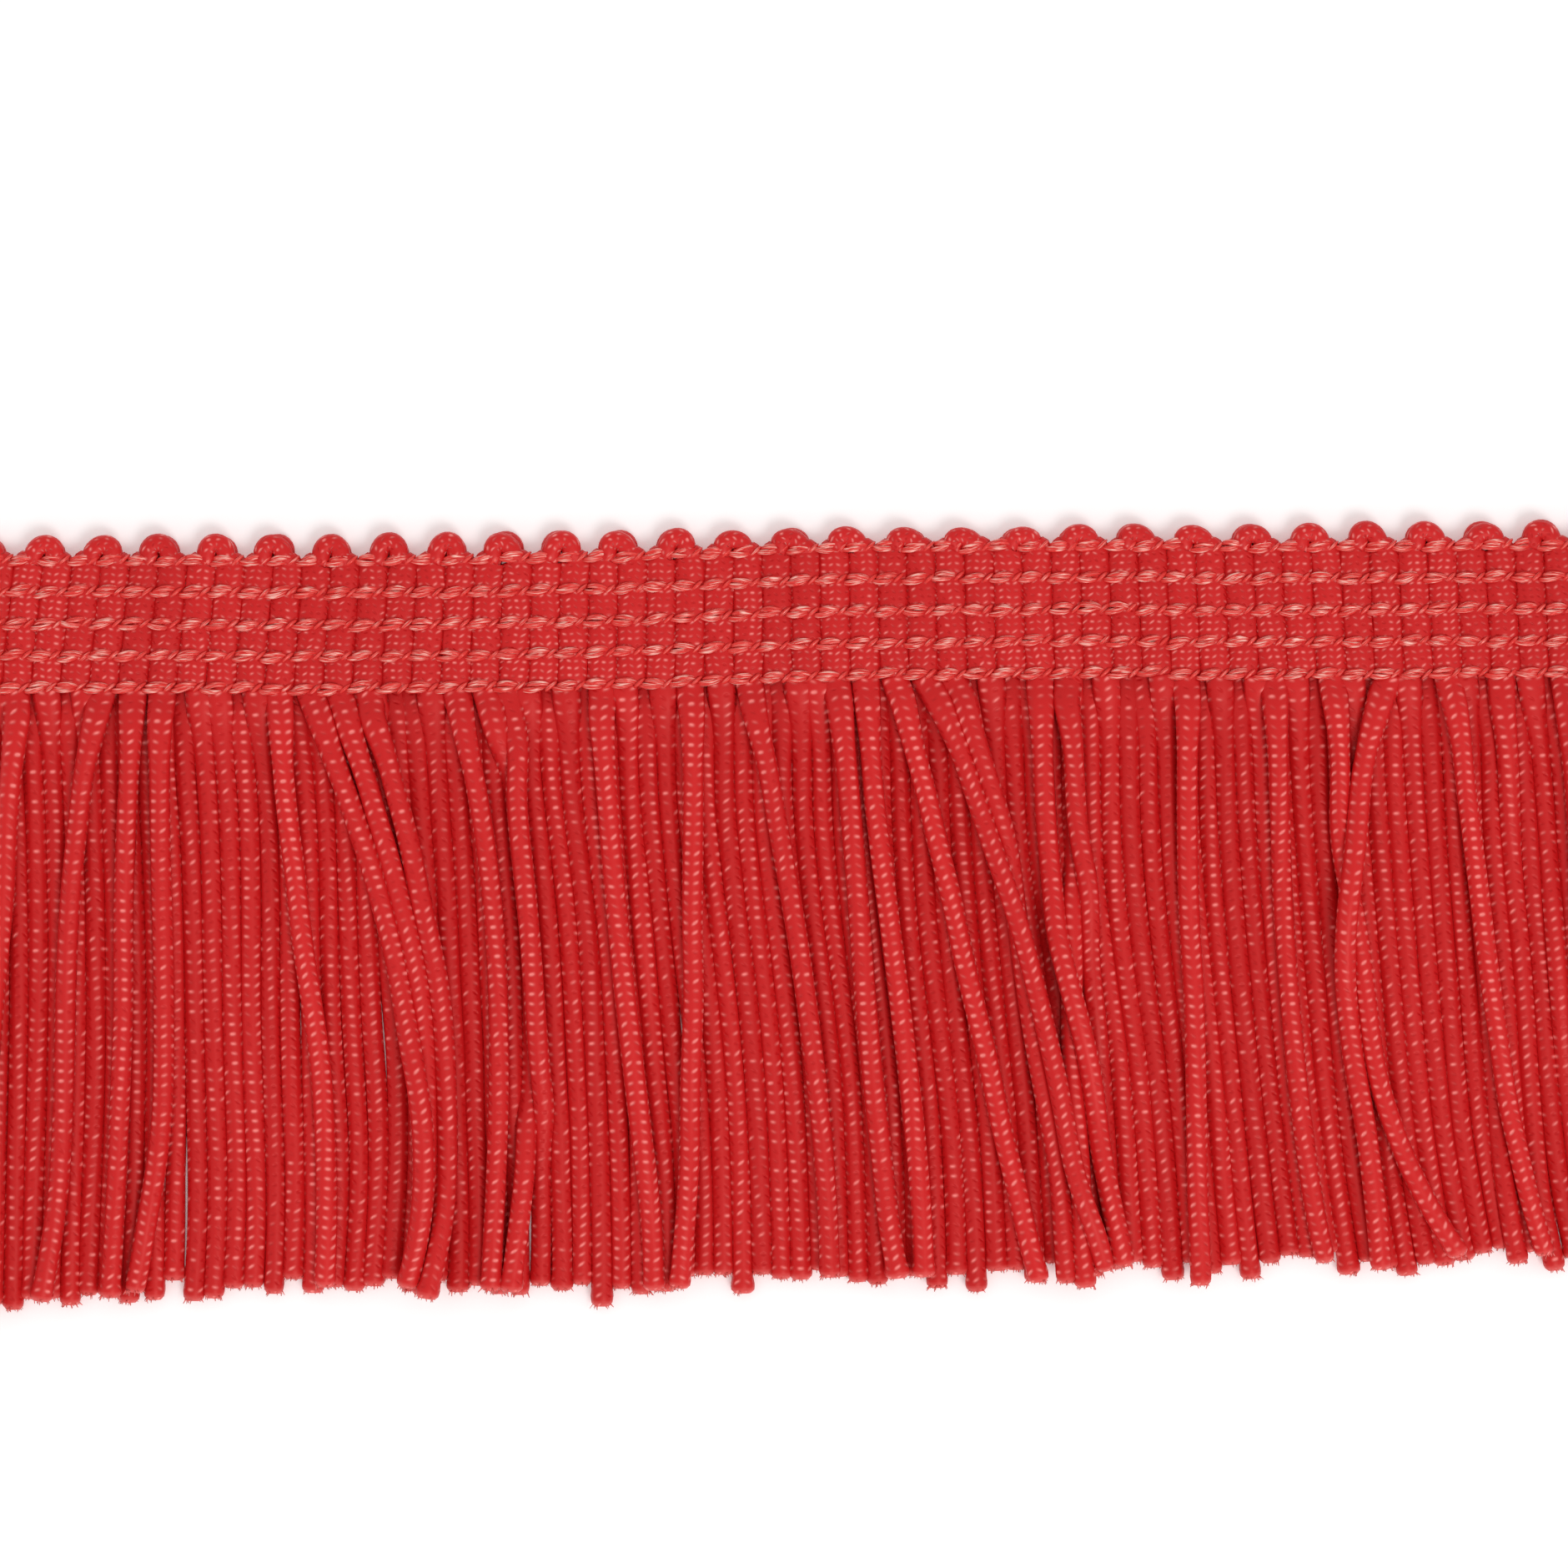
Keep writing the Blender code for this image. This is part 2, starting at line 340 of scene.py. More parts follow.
def node(tree, kind, **settings):
    """A new shader node with its settings."""
    made = tree.nodes.new(kind)
    for key_name, value in settings.items():
        setattr(made, key_name, value)
    return made


def math_node(tree, operation, first, second=None, third=None):
    """A Math node's output for inputs that are numbers or other outputs."""
    made = node(tree, "ShaderNodeMath", operation=operation)
    for socket, value in zip(made.inputs, (first, second, third)):
        if value is None:
            continue
        if isinstance(value, (int, float)):
            socket.default_value = value
        else:
            tree.links.new(value, socket)
    return made.outputs[0]


def product(tree, first, second):
    """First times second, each a number or another output."""
    return math_node(tree, "MULTIPLY", first, second)


def mixed(tree, factor, first, second):
    """A colour mix of two outputs or colours by a factor output."""
    made = node(tree, "ShaderNodeMix", data_type="RGBA")
    tree.links.new(factor, made.inputs[0])
    for socket, value in zip((made.inputs[6], made.inputs[7]), (first, second)):
        if isinstance(value, tuple):
            socket.default_value = value
        else:
            tree.links.new(value, socket)
    return made.outputs[2]


def yarn_base(name):
    """A material with its tree, its shader, and the u and v of the yarn's UV map."""
    material = bpy.data.materials.new(name)
    material.use_nodes = True
    tree = material.node_tree
    shader = tree.nodes["Principled BSDF"]
    place = node(tree, "ShaderNodeUVMap", uv_map="yarn")
    parts = node(tree, "ShaderNodeSeparateXYZ")
    tree.links.new(place.outputs[0], parts.inputs[0])
    return material, tree, shader, parts.outputs[0], parts.outputs[1]


def stretched_noise(tree, u, v, across, along):
    """Noise that runs in streaks: scaled by across round the yarn and by along down it."""
    joined = node(tree, "ShaderNodeCombineXYZ")
    tree.links.new(product(tree, u, across), joined.inputs[0])
    tree.links.new(product(tree, v, along), joined.inputs[1])
    noise = node(tree, "ShaderNodeTexNoise")
    noise.inputs["Scale"].default_value = 1.0
    noise.inputs["Detail"].default_value = 1.0
    tree.links.new(joined.outputs[0], noise.inputs["Vector"])
    return noise.outputs[0]


# %% Cord material
CORD_RED = (0.55, 0.008, 0.010, 1.0)
# brighter red, reached by chance from cord to cord, and as painted light where cords lie higher and in
# the turns
CORD_BRIGHT = (0.68, 0.014, 0.016, 1.0)
# pale for the frayed ends, and for the painted glints: pale colour that stands in for highlights on the
# legs
CORD_PALE_FRAY_AND_PAINTED_GLINT = (0.98, 0.23, 0.21, 1.0)
SPECULAR_TINT = (1.0, 0.42, 0.38, 1.0)
CHANCE_RISE = 0.34
SIDE_RISE = 0.272
DASH_THINNESS = 8.0
DASH_SHORTNESS = 3.2
CORD_ROUGHNESS = 0.44
CORD_SPECULAR = 0.55
GLINT_BY_CHANCE = 1.7
GLINT_CUT = 0.55
DASH_DEPTH = 0.06 * MM


def cord_material(name, dash_depth):
    """Knitted cord: one slanted dash to each leg as bump and colour, and paler where it is frayed.

    A dash is max(cos(pi tilted), 0) ^ thinness * cos(pi across) ^ shortness, with tilted =
    along + slope * across, and slope = SIDE_RISE * side + CHANCE_RISE * (2 luck - 1). Its
    painted glint, pale colour that stands in for a highlight, is dash * (GLINT_BY_CHANCE *
    luck + tone_and_painted_light - GLINT_CUT). side is -1 or 1 from column to column, and
    luck is a number from 0 to 1 for each leg.
    """
    material, tree, shader, u, v = yarn_base(name)
    doubled = product(tree, u, 2.0)
    column = math_node(tree, "FLOOR", doubled)
    one_leg = node(tree, "ShaderNodeCombineXYZ")
    tree.links.new(column, one_leg.inputs[0])
    tree.links.new(math_node(tree, "FLOOR", v), one_leg.inputs[1])
    chance = node(tree, "ShaderNodeTexWhiteNoise", noise_dimensions="2D")
    tree.links.new(one_leg.outputs[0], chance.inputs["Vector"])
    luck = chance.outputs["Value"]

    across = math_node(tree, "SUBTRACT", math_node(tree, "FRACT", doubled), 0.5)
    along = math_node(tree, "SUBTRACT", math_node(tree, "FRACT", v), 0.5)
    odd_or_even = math_node(tree, "FRACT", product(tree, column, 0.5))
    side = math_node(tree, "MULTIPLY_ADD", odd_or_even, 4.0, -1.0)
    slope = math_node(tree, "MULTIPLY_ADD", side, SIDE_RISE, -CHANCE_RISE)
    slope = math_node(tree, "MULTIPLY_ADD", luck, 2 * CHANCE_RISE, slope)
    tilted = math_node(tree, "MULTIPLY_ADD", across, slope, along)
    arch = math_node(tree, "MAXIMUM", math_node(tree, "COSINE", product(tree, tilted, math.pi)), 0.0)
    lobe = math_node(tree, "COSINE", product(tree, across, math.pi))
    thin = math_node(tree, "POWER", arch, DASH_THINNESS)
    short = math_node(tree, "POWER", lobe, DASH_SHORTNESS)
    dash = product(tree, thin, short)

    bump = node(tree, "ShaderNodeBump")
    bump.inputs["Strength"].default_value = 1.0
    bump.inputs["Distance"].default_value = dash_depth
    tree.links.new(dash, bump.inputs["Height"])
    tree.links.new(bump.outputs[0], shader.inputs["Normal"])

    tone_and_painted_light = node(tree, "ShaderNodeAttribute", attribute_name="tone_and_painted_light")
    frayed = node(tree, "ShaderNodeAttribute", attribute_name="frayed")
    # the red brightens by chance from cord to cord, and as painted light on cords that lie higher and in
    # the turns
    colour = mixed(tree, tone_and_painted_light.outputs["Fac"], CORD_RED, CORD_BRIGHT)
    # painted glint: the dash is drawn pale in the base colour as a highlight, stronger by chance and on
    # brighter cords
    lively = math_node(tree, "MULTIPLY_ADD", luck, GLINT_BY_CHANCE, -GLINT_CUT)
    lively = math_node(tree, "ADD", tone_and_painted_light.outputs["Fac"], lively)
    glint = product(tree, dash, lively)
    pale = math_node(tree, "MAXIMUM", glint, frayed.outputs["Fac"])
    tree.links.new(mixed(tree, pale, colour, CORD_PALE_FRAY_AND_PAINTED_GLINT), shader.inputs["Base Color"])
    shader.inputs["Roughness"].default_value = CORD_ROUGHNESS
    shader.inputs["Specular IOR Level"].default_value = CORD_SPECULAR
    shader.inputs["Specular Tint"].default_value = SPECULAR_TINT
    return material


cord_yarn = cord_material("chainette_cord", DASH_DEPTH)
print("cord material nodes:", len(cord_yarn.node_tree.nodes))

# %% [markdown]
# The chain stitches are worked in the same yarn, not knitted but as a loose bundle of
# filaments. It is shinier than the cord, because its filaments lie side by side. Its pale
# streaks are painted highlights in the colour, strongest on the top of each leg and gone at
# its ends, so the painted light that each point carries scales them.

# %% Stitch material
STITCH_RED = (0.78, 0.035, 0.030, 1.0)
# painted highlight: pale pink streaks in the colour stand in for the glints on the legs
STITCH_PAINTED_HIGHLIGHT = (0.99, 0.54, 0.46, 1.0)
STREAKS_ROUND = 11.0
STREAKS_ALONG = 0.9
STREAK_CONTRAST = 8.5
STREAK_CUT = 4.2
STREAK_DEPTH = 0.035 * MM
STITCH_ROUGHNESS = 0.24
STITCH_SPECULAR = 0.90


def stitch_material(name):
    """Bundle of filaments: streaks in bump and colour, with a satin gloss.

    The share of painted highlight is (STREAK_CONTRAST * noise - STREAK_CUT) * tone_and_painted_light.
    """
    material, tree, shader, u, v = yarn_base(name)
    streaks = stretched_noise(tree, u, v, STREAKS_ROUND, STREAKS_ALONG)
    bump = node(tree, "ShaderNodeBump")
    bump.inputs["Strength"].default_value = 1.0
    bump.inputs["Distance"].default_value = STREAK_DEPTH
    tree.links.new(streaks, bump.inputs["Height"])
    tree.links.new(bump.outputs[0], shader.inputs["Normal"])
    tone_and_painted_light = node(tree, "ShaderNodeAttribute", attribute_name="tone_and_painted_light")
    parted = math_node(tree, "MULTIPLY_ADD", streaks, STREAK_CONTRAST, -STREAK_CUT)
    # painted highlight: pale streaks mixed into the red where the painted light of the legs is strong
    painted_highlight = product(tree, parted, tone_and_painted_light.outputs["Fac"])
    tree.links.new(mixed(tree, painted_highlight, STITCH_RED, STITCH_PAINTED_HIGHLIGHT), shader.inputs["Base Color"])
    shader.inputs["Roughness"].default_value = STITCH_ROUGHNESS
    shader.inputs["Specular IOR Level"].default_value = STITCH_SPECULAR
    shader.inputs["Specular Tint"].default_value = SPECULAR_TINT
    return material


stitch_yarn = stitch_material("chain_stitch_yarn")
print("stitch material nodes:", len(stitch_yarn.node_tree.nodes))

# %% [markdown]
# ## The knitted cord's surface
# Round the cord, every second line of points runs down the legs and stands proud, and
# the lines between them lie in the grooves. Along it there are three rings to a stitch,
# and every leg swells halfway through its stitch. On the hanging cords that is right
# where the material has its dash.

# %% Knitted relief
WALES = 3
CORD_SIDES = 4 * WALES
RINGS_PER_STITCH = 3
GROOVE_AND_LEG_BASE = np.array([-0.012, -0.004])
GROOVE_AND_LEG_SWELL = np.array([0.004, 0.034])
WAVE_TURNS_SHARES = (0.6, 1.4)


def knitted_relief(tubes, rings):
    """Relief factor (tube, ring, side): 1 + base + swell * (1 - cos(2 pi stitch)) / 2.

    base and swell go with the line of points: groove, leg, groove, leg.
    """
    kind = np.arange(CORD_SIDES) % 2
    base, swell = GROOVE_AND_LEG_BASE[kind], GROOVE_AND_LEG_SWELL[kind]
    stitch = np.arange(rings)[:, None] / RINGS_PER_STITCH
    wave = (1 - np.cos(2 * math.pi * stitch)) / 2
    return np.broadcast_to(1 + base + swell * wave, (tubes, rings, CORD_SIDES))


def slow_wave(draw, tubes, along, height, turns):
    """A slow sine for each tube, height * sin(2 pi (count * along + phase)), along from 0 to 1.

    count is turns times a share drawn for the tube.
    """
    phase = draw.uniform(0, 1, (tubes, 1))
    count = turns * draw.uniform(*WAVE_TURNS_SHARES, (tubes, 1))
    return height * np.sin(2 * math.pi * (count * along + phase))


print("sides:", CORD_SIDES, "rings per stitch:", RINGS_PER_STITCH)

# %% [markdown]
# ## Cords in the heading
# In the band the cords lie in two layers, one behind the other. Each runs up one course,
# turns over at the top edge and runs down the next, so a pair of courses is one line with
# a U turn. The chain rows press the cord flat and wide, and it swells up between them. In
# the turn it is free again and nearly round. Pressed like this it shows more and smaller
# stitches, so the pattern goes round it more times and the relief is only half as high.

# %% One line up, over and down
LIMB_X = COURSE_PITCH / 2
TURN_START_Y = ROW_Y[-1] - 0.15 * MM
TURN_CENTRE_Y = ROW_Y[-1] + 0.32 * MM
TURN_HALF_WIDTH = 0.68 * MM
TURN_RISE = 0.60 * MM
HEADING_STITCH = 0.46 * MM
HEADING_WALES = 5
HEADING_RELIEF = 0.5
LIMB_POINTS, BEND_POINTS, ARC_POINTS = 200, 40, 60


def loop_line(step):
    """x, y of a pair of courses about the loop's middle, with a ring every step.

    A straight limb, an S-bend inwards, a quarter of an ellipse, and the same mirrored.
    """
    up_y = np.linspace(LIMB_BOTTOM_Y, TURN_START_Y, LIMB_POINTS)
    bend = np.linspace(0.0, 1.0, BEND_POINTS)[1:]
    bend_y = TURN_START_Y + (TURN_CENTRE_Y - TURN_START_Y) * bend
    bend_x = -LIMB_X + (LIMB_X - TURN_HALF_WIDTH) * smooth_step(bend)
    arc = np.linspace(math.pi, math.pi / 2, ARC_POINTS)[1:]
    left_x = np.concatenate([np.full(len(up_y), -LIMB_X), bend_x, TURN_HALF_WIDTH * np.cos(arc)])
    left_y = np.concatenate([up_y, bend_y, TURN_CENTRE_Y + TURN_RISE * np.sin(arc)])
    x = np.concatenate([left_x, -left_x[-2::-1]])
    y = np.concatenate([left_y, left_y[-2::-1]])
    along = np.concatenate([[0.0], np.cumsum(np.hypot(np.diff(x), np.diff(y)))])
    rings = int(round(along[-1] / step)) + 1
    at = np.linspace(0.0, along[-1], rings)
    return np.interp(at, along, x), np.interp(at, along, y)


loop_x, loop_y = loop_line(HEADING_STITCH / RINGS_PER_STITCH)
loop_middles = (np.arange(LOOPS) + 0.5) * 2 * COURSE_PITCH - LENGTH / 2
print("rings in a loop:", len(loop_x))

# %% Two layers of looped cord
LAYER_SHAPES = {
    # height of the centre line, how far a chain row presses it down (up if negative), half width
    "face": (1.22 * MM, 0.03 * MM, 1.06 * MM),
    "back": (0.42 * MM, -0.08 * MM, 1.03 * MM),
}
LIMB_HALF_HEIGHT = 0.41 * MM
SQUEEZE_REACH = 0.50 * MM
SQUEEZE_WIDER = 0.05 * MM
SQUEEZE_FLATTER = 0.03 * MM
TURN_REACH = 1.1 * MM
TURN_LIFT = 0.12 * MM
ROUND_OFF_START_Y = ROW_Y[-1] - 0.30 * MM
ROUND_OFF_REACH = 0.6 * MM
LIMB_SWAY = 0.02 * MM
LIMB_SWAY_TURNS = 6.0
# how far each turn is shifted by chance, in mm
TURN_SHIFTS_Y = (-0.16, 0.13)
TURN_SHIFTS_X = (-0.25, 0.15)
LOOP_TWIST = 0.5
LOOP_TWIST_TURNS = 1.5
LOOP_SHADES = (0.15, 0.60)
# painted light in the turns: a brighter red and stronger painted glints on the picots
TURN_PAINTED_LIGHT = 0.30


def squeeze(y):
    """How hard a chain row grips at y: 1 on a row, falling off as a bell curve on either side."""
    return np.exp(-(((y[..., None] - ROW_Y) / SQUEEZE_REACH) ** 2)).max(axis=-1)


def heading_cords(layer, seed):
    """The looped cords of a layer as a mesh, with each loop a little different.

    Where a chain row grips, the cord is pressed, wider and flatter. In the turn its half
    width goes over to TURN_RADIUS, and it is lifted by as much as it grows higher.
    """
    draw = np.random.default_rng(seed)
    rings = len(loop_x)
    along = np.linspace(0.0, 1.0, rings)[None, :]
    y = np.broadcast_to(loop_y, (LOOPS, rings)).copy()
    x = loop_middles[:, None] + loop_x + slow_wave(draw, LOOPS, along, LIMB_SWAY, LIMB_SWAY_TURNS)
    in_turn = smooth_step((y - ROW_Y[-1]) / TURN_REACH)
    y += in_turn * draw.uniform(*TURN_SHIFTS_Y, (LOOPS, 1)) * MM
    x += in_turn * draw.uniform(*TURN_SHIFTS_X, (LOOPS, 1)) * MM
    grip = squeeze(y)
    centre_z, pressed, full_width = LAYER_SHAPES[layer]
    round_off = smooth_step((y - ROUND_OFF_START_Y) / ROUND_OFF_REACH)
    z = centre_z - pressed * grip + TURN_LIFT * round_off
    y = y + drawn_up(x) * (1 - in_turn)
    line = np.stack([slanted(x, y), y, z], axis=-1)
    half_width = full_width + SQUEEZE_WIDER * grip
    half_width = half_width + (TURN_RADIUS - half_width) * round_off
    half_height = LIMB_HALF_HEIGHT - SQUEEZE_FLATTER * grip + TURN_LIFT * round_off
    turn = slow_wave(draw, LOOPS, along, LOOP_TWIST, LOOP_TWIST_TURNS)
    turn = turn + draw.uniform(0, 2 * math.pi, (LOOPS, 1))
    relief = 1 + (knitted_relief(LOOPS, rings) - 1) * HEADING_RELIEF
    points = tube_points(line, half_width, half_height, turn, CORD_SIDES, relief)
    stitches = np.broadcast_to(np.arange(rings) / RINGS_PER_STITCH, (LOOPS, rings))
    # chance brightness for each loop, plus painted light in the turns
    tone_and_painted_light = draw.uniform(*LOOP_SHADES, (LOOPS, 1)) + TURN_PAINTED_LIGHT * in_turn
    values = {"tone_and_painted_light": tone_and_painted_light, "frayed": np.zeros((LOOPS, rings))}
    return tube_mesh(f"heading_cords_{layer}", points, HEADING_WALES, stitches, values)


heading_pieces = {
    layer: add_piece(
        f"heading_cords_{layer}", heading_cords(layer, seed), cord_yarn, "heading_yarn", "heading"
    )
    for layer, seed in (("face", 31), ("back", 32))
}

# %% [markdown]
# ## How the fringe lies
# Below the last chain row the cords hang free, and on a table they slump over each other:
# two cords to a course are wider than the course, so some lie on top. Each cord could be
# placed by hand, but there are 116. Instead each is given the way that it leans, read off
# the photo at a few places. Most make an under layer that is spaced out to hide the table.
# Some single cords with a lean of their own and a few restless ones start above it. Then
# all are let down together: they push each other apart, keep off the floor, and stay
# smooth along their length.

# %% Where each cord leans
LEAN_TABLE = np.array([
    # root x in mm, shift at a third of the drop, at two thirds, at the tip
    [-58.0, -0.6, -1.4, -1.9],
    [-50.8, -0.8, -1.7, -2.1],
    [-47.2, -0.6, -1.1, -1.6],
    [-41.3, -0.3, -0.6, -1.2],
    [-36.5, -0.1, -0.3, -0.6],
    [-33.1, 2.1, 5.3, 6.2],
    [-30.1, 3.2, 4.9, 3.6],
    [-26.9, 3.1, 4.2, 2.7],
    [-23.7, 3.0, 3.3, 1.8],
    [-17.7, 2.0, 2.1, 1.1],
    [-13.0, 0.9, 2.4, 4.0],
    [-10.1, 0.7, 1.4, 2.1],
    [-6.7, 0.2, 0.2, -0.4],
    [-3.4, -0.1, -0.6, -2.4],
    [0.0, 0.2, 0.8, 2.4],
    [3.4, 1.3, 2.5, 4.3],
    [6.2, 2.6, 4.6, 6.6],
    [10.7, 2.6, 4.5, 6.3],
    [13.5, 1.3, 3.1, 4.9],
    [16.3, 0.3, 2.2, 4.0],
    [19.1, 0.0, 0.6, 1.3],
    [22.4, -0.1, -0.5, -0.9],
    [26.7, 0.3, 1.1, 1.8],
    [30.9, 0.4, 1.0, 2.4],
    [34.8, 0.5, 1.3, 4.3],
    [39.0, 1.5, 3.0, 5.2],
    [45.9, 1.5, 2.6, 5.0],
    [50.5, 1.3, 2.5, 4.5],
    [58.0, 1.2, 2.4, 3.6],
])
CUT_TABLE = np.array([
    # x in mm, y of the cut ends
    [-60.0, -46.5],
    [-52.0, -45.9],
    [-40.0, -45.2],
    [-26.0, -44.7],
    [-18.0, -45.1],
    [-12.5, -45.9],
    [-8.0, -45.3],
    [-3.0, -44.7],
    [10.0, -44.9],
    [24.0, -44.7],
    [33.0, -44.0],
    [37.0, -44.4],
    [45.0, -43.9],
    [60.0, -43.9],
])
TOP_TABLE = np.array([
    # cords that lie over the others: root x in mm, the same three shifts
    [-47.4, -2.2, -2.9, -4.5],
    [-41.8, 0.0, -0.2, -2.4],
    [-32.8, 4.6, 7.4, 6.6],
    [-30.9, 3.9, 6.0, 4.9],
    [-28.4, 3.4, 4.9, 3.5],
    [-22.7, 2.2, 2.6, 2.1],
    [-2.6, 2.5, 4.2, 5.0],
    [4.2, 1.1, 2.6, 3.4],
    [6.9, 3.3, 6.2, 9.3],
    [8.4, 5.3, 8.3, 11.5],
    [10.5, 3.6, 5.9, 7.6],
    [16.0, 0.6, 2.7, 5.0],
    [37.0, 0.8, 2.4, 8.2],
    [40.7, -3.0, -2.4, -1.0],
])
LEAN_BLUR = 2.0 * MM
WIDEST_SPACE = 1.26 * MM
STATIONS = 48
STRAND_COUNT = 2 * COURSES
LEFT_ON_FACE = 0.6
BESIDE = 0.25 * COURSE_PITCH
OWN_SHIFT = 0.07 * MM
LONG_SWAY = 0.32 * MM
LONG_SWAY_GROUP = 13
# a shift has set in fully after 1 / quickness of the drop
BESIDE_QUICKNESS = 5
OWN_QUICKNESS = 6
SWAY_QUICKNESS = 4
CLUMP_SWAYS = ((0.13 * MM, 0.6, 4), (0.09 * MM, 1.5, 4))
RESTLESS_CORDS = 12
RESTLESS_BLUR = 0.4 * MM
RESTLESS_SPREAD = 1.0 * MM
RESTLESS_POWER = 1.4
FACE_START_Z = 1.9 * MM
BACK_START_Z = 0.6 * MM
RESTLESS_START_Z = 2.2 * MM
TOP_START_Z = 2.6 * MM
START_Z_SPREAD = (-0.4, 0.6)  # in mm
GAP_SHARE = 0.25


def through_stations(shifts, t):
    """The cubic through 0, first, second and third shift at t = 0, 1/3, 2/3 and 1.

    Each shift is times a product of t less the other stations, scaled to be 1 at its own.
    """
    first, second, third = (shifts[:, k, None] for k in range(3))
    return (
        first * 13.5 * t * (t - 2 / 3) * (t - 1)
        - second * 13.5 * t * (t - 1 / 3) * (t - 1)
        + third * 4.5 * t * (t - 1 / 3) * (t - 2 / 3)
    )


def leans_at(root, blur):
    """The lean table's three shifts at the roots, averaged with those a blur to the left and right."""
    near = [root + step * blur for step in (-1.0, -0.5, 0.0, 0.5, 1.0)]
    columns = [
        sum(np.interp(place / MM, LEAN_TABLE[:, 0], LEAN_TABLE[:, k]) for place in near) / len(near)
        for k in (1, 2, 3)
    ]
    return np.stack(columns, axis=1) * MM


def shared_wave(draw, t, height, turns, group):
    """height * (a sin(2 pi turns t) + b cos(2 pi turns t)), a and b alike in a group of neighbours."""
    window = np.hanning(group + 2)[1:-1]
    window /= np.linalg.norm(window)
    sizes = [
        np.convolve(draw.normal(0, 1, STRAND_COUNT + group - 1), window, "valid")[:, None]
        for _ in range(2)
    ]
    angle = 2 * math.pi * turns * t
    return height * (sizes[0] * np.sin(angle) + sizes[1] * np.cos(angle))


def spaced(x, widest, rounds=600):
    """x with no two neighbours further apart than widest: each wide gap is shared out to both sides."""
    x = x.copy()
    for _ in range(rounds):
        share = GAP_SHARE * np.maximum(np.diff(x, axis=0) - widest, 0.0)
        x[:-1] += share
        x[1:] -= share
    return x


def leaning_cords(draw):
    """Where the cords would lie if none was in another's way.

    Gives x and z (cord, station), and which are on the face. The cords are counted from
    left to right, two to a course, and either of the two may be the one on the face.
    """
    course = np.repeat(np.arange(COURSES), 2)
    left_is_face = np.repeat(draw.uniform(0, 1, COURSES) < LEFT_ON_FACE, 2)
    is_left = np.tile([True, False], COURSES)
    face = left_is_face == is_left
    root = slanted((course + 0.5) * COURSE_PITCH - LENGTH / 2, FRINGE_TOP_Y)
    t = np.linspace(0.0, 1.0, STATIONS)[None, :]
    beside = np.where(is_left, -BESIDE, BESIDE)[:, None] * smooth_step(t * BESIDE_QUICKNESS)
    own = draw.uniform(-OWN_SHIFT, OWN_SHIFT, (STRAND_COUNT, 1)) * smooth_step(t * OWN_QUICKNESS)
    x = root[:, None] + through_stations(leans_at(root, LEAN_BLUR), t) + beside
    x = x + shared_wave(draw, t, LONG_SWAY, 1.0, LONG_SWAY_GROUP) * smooth_step(t * SWAY_QUICKNESS)
    faces = np.flatnonzero(face)
    over = faces[np.abs(root[faces] - TOP_TABLE[:, :1] * MM).argmin(axis=1)]
    spare = np.setdiff1d(faces, over)
    restless = spare[np.linspace(2, len(spare) - 3, RESTLESS_CORDS).astype(int)]
    their_leans = leans_at(root[restless], RESTLESS_BLUR)
    x[restless] = root[restless][:, None] + through_stations(their_leans, t)
    wander = draw.normal(0.0, 1.0, (RESTLESS_CORDS, 1)) * RESTLESS_SPREAD
    x[restless] += wander * t**RESTLESS_POWER
    under = np.setdiff1d(np.arange(STRAND_COUNT), np.concatenate([over, restless]))
    x[under] = spaced(x[under], WIDEST_SPACE) + own[under]
    clumps = sum(shared_wave(draw, t, *sway) for sway in CLUMP_SWAYS)
    x[under] += clumps[under] * smooth_step(t * BESIDE_QUICKNESS)
    x[over] = root[over][:, None] + through_stations(TOP_TABLE[:, 1:] * MM, t)
    z = np.where(face, FACE_START_Z, BACK_START_Z)
    z = z + draw.uniform(*START_Z_SPREAD, STRAND_COUNT) * MM
    z[restless] = RESTLESS_START_Z
    z[over] = TOP_START_Z
    return x, np.broadcast_to(z[:, None], x.shape).copy(), face


aim_x, start_z, on_face = leaning_cords(np.random.default_rng(7))
widest_lean = float(np.abs(aim_x[:, -1] - aim_x[:, 0]).max())
print("cords:", STRAND_COUNT, "widest lean, mm:", round(widest_lean / MM, 1))

# %% Let the cords down on the table
FALL = 0.012 * MM
AIM_PULL = 0.05
PUSH_SHARE = 0.25
SMOOTHING = 0.24
END_SMOOTHING = 0.3


def settled(x_aim, z_start, root_z, rounds=420, reach=13):
    """x and z (cord, station) after many small rounds, in which the cords come to rest.

    Each round lowers z a little, pulls x towards its aim, and moves any two cords that are
    nearer than a diameter apart along the line between them. Then z is kept above the
    radius, and each point is averaged a little with its neighbours along the cord.
    """
    x, z = x_aim.copy(), z_start.copy()
    apart = 2 * HANGING_RADIUS
    for _ in range(rounds):
        z -= FALL
        x += AIM_PULL * (x_aim - x)
        for gap in range(1, reach):
            dx, dz = x[gap:] - x[:-gap], z[gap:] - z[:-gap]
            far = np.sqrt(dx * dx + dz * dz) + 1e-9
            push = np.maximum(apart - far, 0.0) * PUSH_SHARE / far
            x[gap:] += dx * push
            x[:-gap] -= dx * push
            z[gap:] += dz * push
            z[:-gap] -= dz * push
        moved = x - x_aim
        for line in (moved, z):
            line[:, 1:-1] += SMOOTHING * (line[:, 2:] + line[:, :-2] - 2 * line[:, 1:-1])
            line[:, -1] += END_SMOOTHING * (2 * line[:, -2] - line[:, -3] - line[:, -1])
        x = x_aim + moved
        z = np.maximum(z, HANGING_RADIUS)
        x[:, :2] = x_aim[:, :2]
        z[:, :2] = root_z[:, None]
    return x, z


